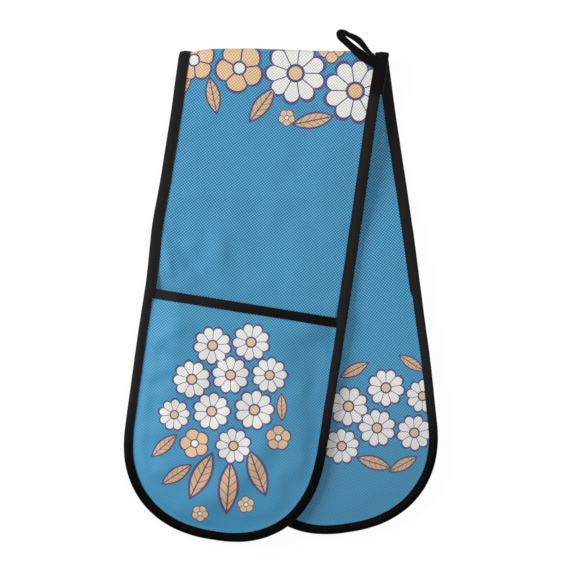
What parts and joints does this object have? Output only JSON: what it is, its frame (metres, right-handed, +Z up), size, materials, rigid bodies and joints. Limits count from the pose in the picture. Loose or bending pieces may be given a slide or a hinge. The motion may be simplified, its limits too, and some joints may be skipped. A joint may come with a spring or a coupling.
{
  "type": "double oven glove",
  "caption": "Padded cloth strip folded in half, with round bound ends, a hand pocket on the outer face of each end and a tape loop at the fold.",
  "frame": {"origin": "centre of the footprint of the folded glove, on the table it lies on", "axes": "+Y along the glove towards the fold, +X across it, +Z up through its thickness"},
  "size_m": [0.2852, 0.4664, 0.0297],
  "materials": {
    "printed_cloth": "printed coarse plain weave, sky blue",
    "wadding": "needled white wadding",
    "lining": "plain off-white cotton",
    "binding_tape": "black bias tape, satin-matt"
  },
  "bodies": {
    "back_half": {"back_inner_cloth": "printed_cloth", "back_wadding": "wadding", "back_outer_cloth": "printed_cloth", "back_pocket_lining": "lining", "back_pocket_wadding": "wadding", "back_pocket_cloth": "printed_cloth", "back_mouth_binding": "binding_tape", "back_edge_binding": "binding_tape"},
    "front_half": {"front_inner_cloth": "printed_cloth", "front_wadding": "wadding", "front_outer_cloth": "printed_cloth", "front_pocket_lining": "lining", "front_pocket_wadding": "wadding", "front_pocket_cloth": "printed_cloth", "front_mouth_binding": "binding_tape", "front_edge_binding": "binding_tape", "binding_end_tab": "binding_tape"},
    "hanging_loop": {"hanging_loop": "binding_tape"}
  },
  "joints": [
    {"name": "fold", "type": "hinge", "parent": "back_half", "child": "front_half", "pos_m": [0.00049, 0.21323, 0.01025], "axis": [-1, 0, 0], "range_deg": [0, 177.5]},
    {"name": "hanging_loop_flop", "type": "hinge", "parent": "front_half", "child": "hanging_loop", "pos_m": [0.08324, 0.20347, 0.0218], "axis": [0.1416, 0.9899, 0], "range_deg": [0, 170]}
  ]
}
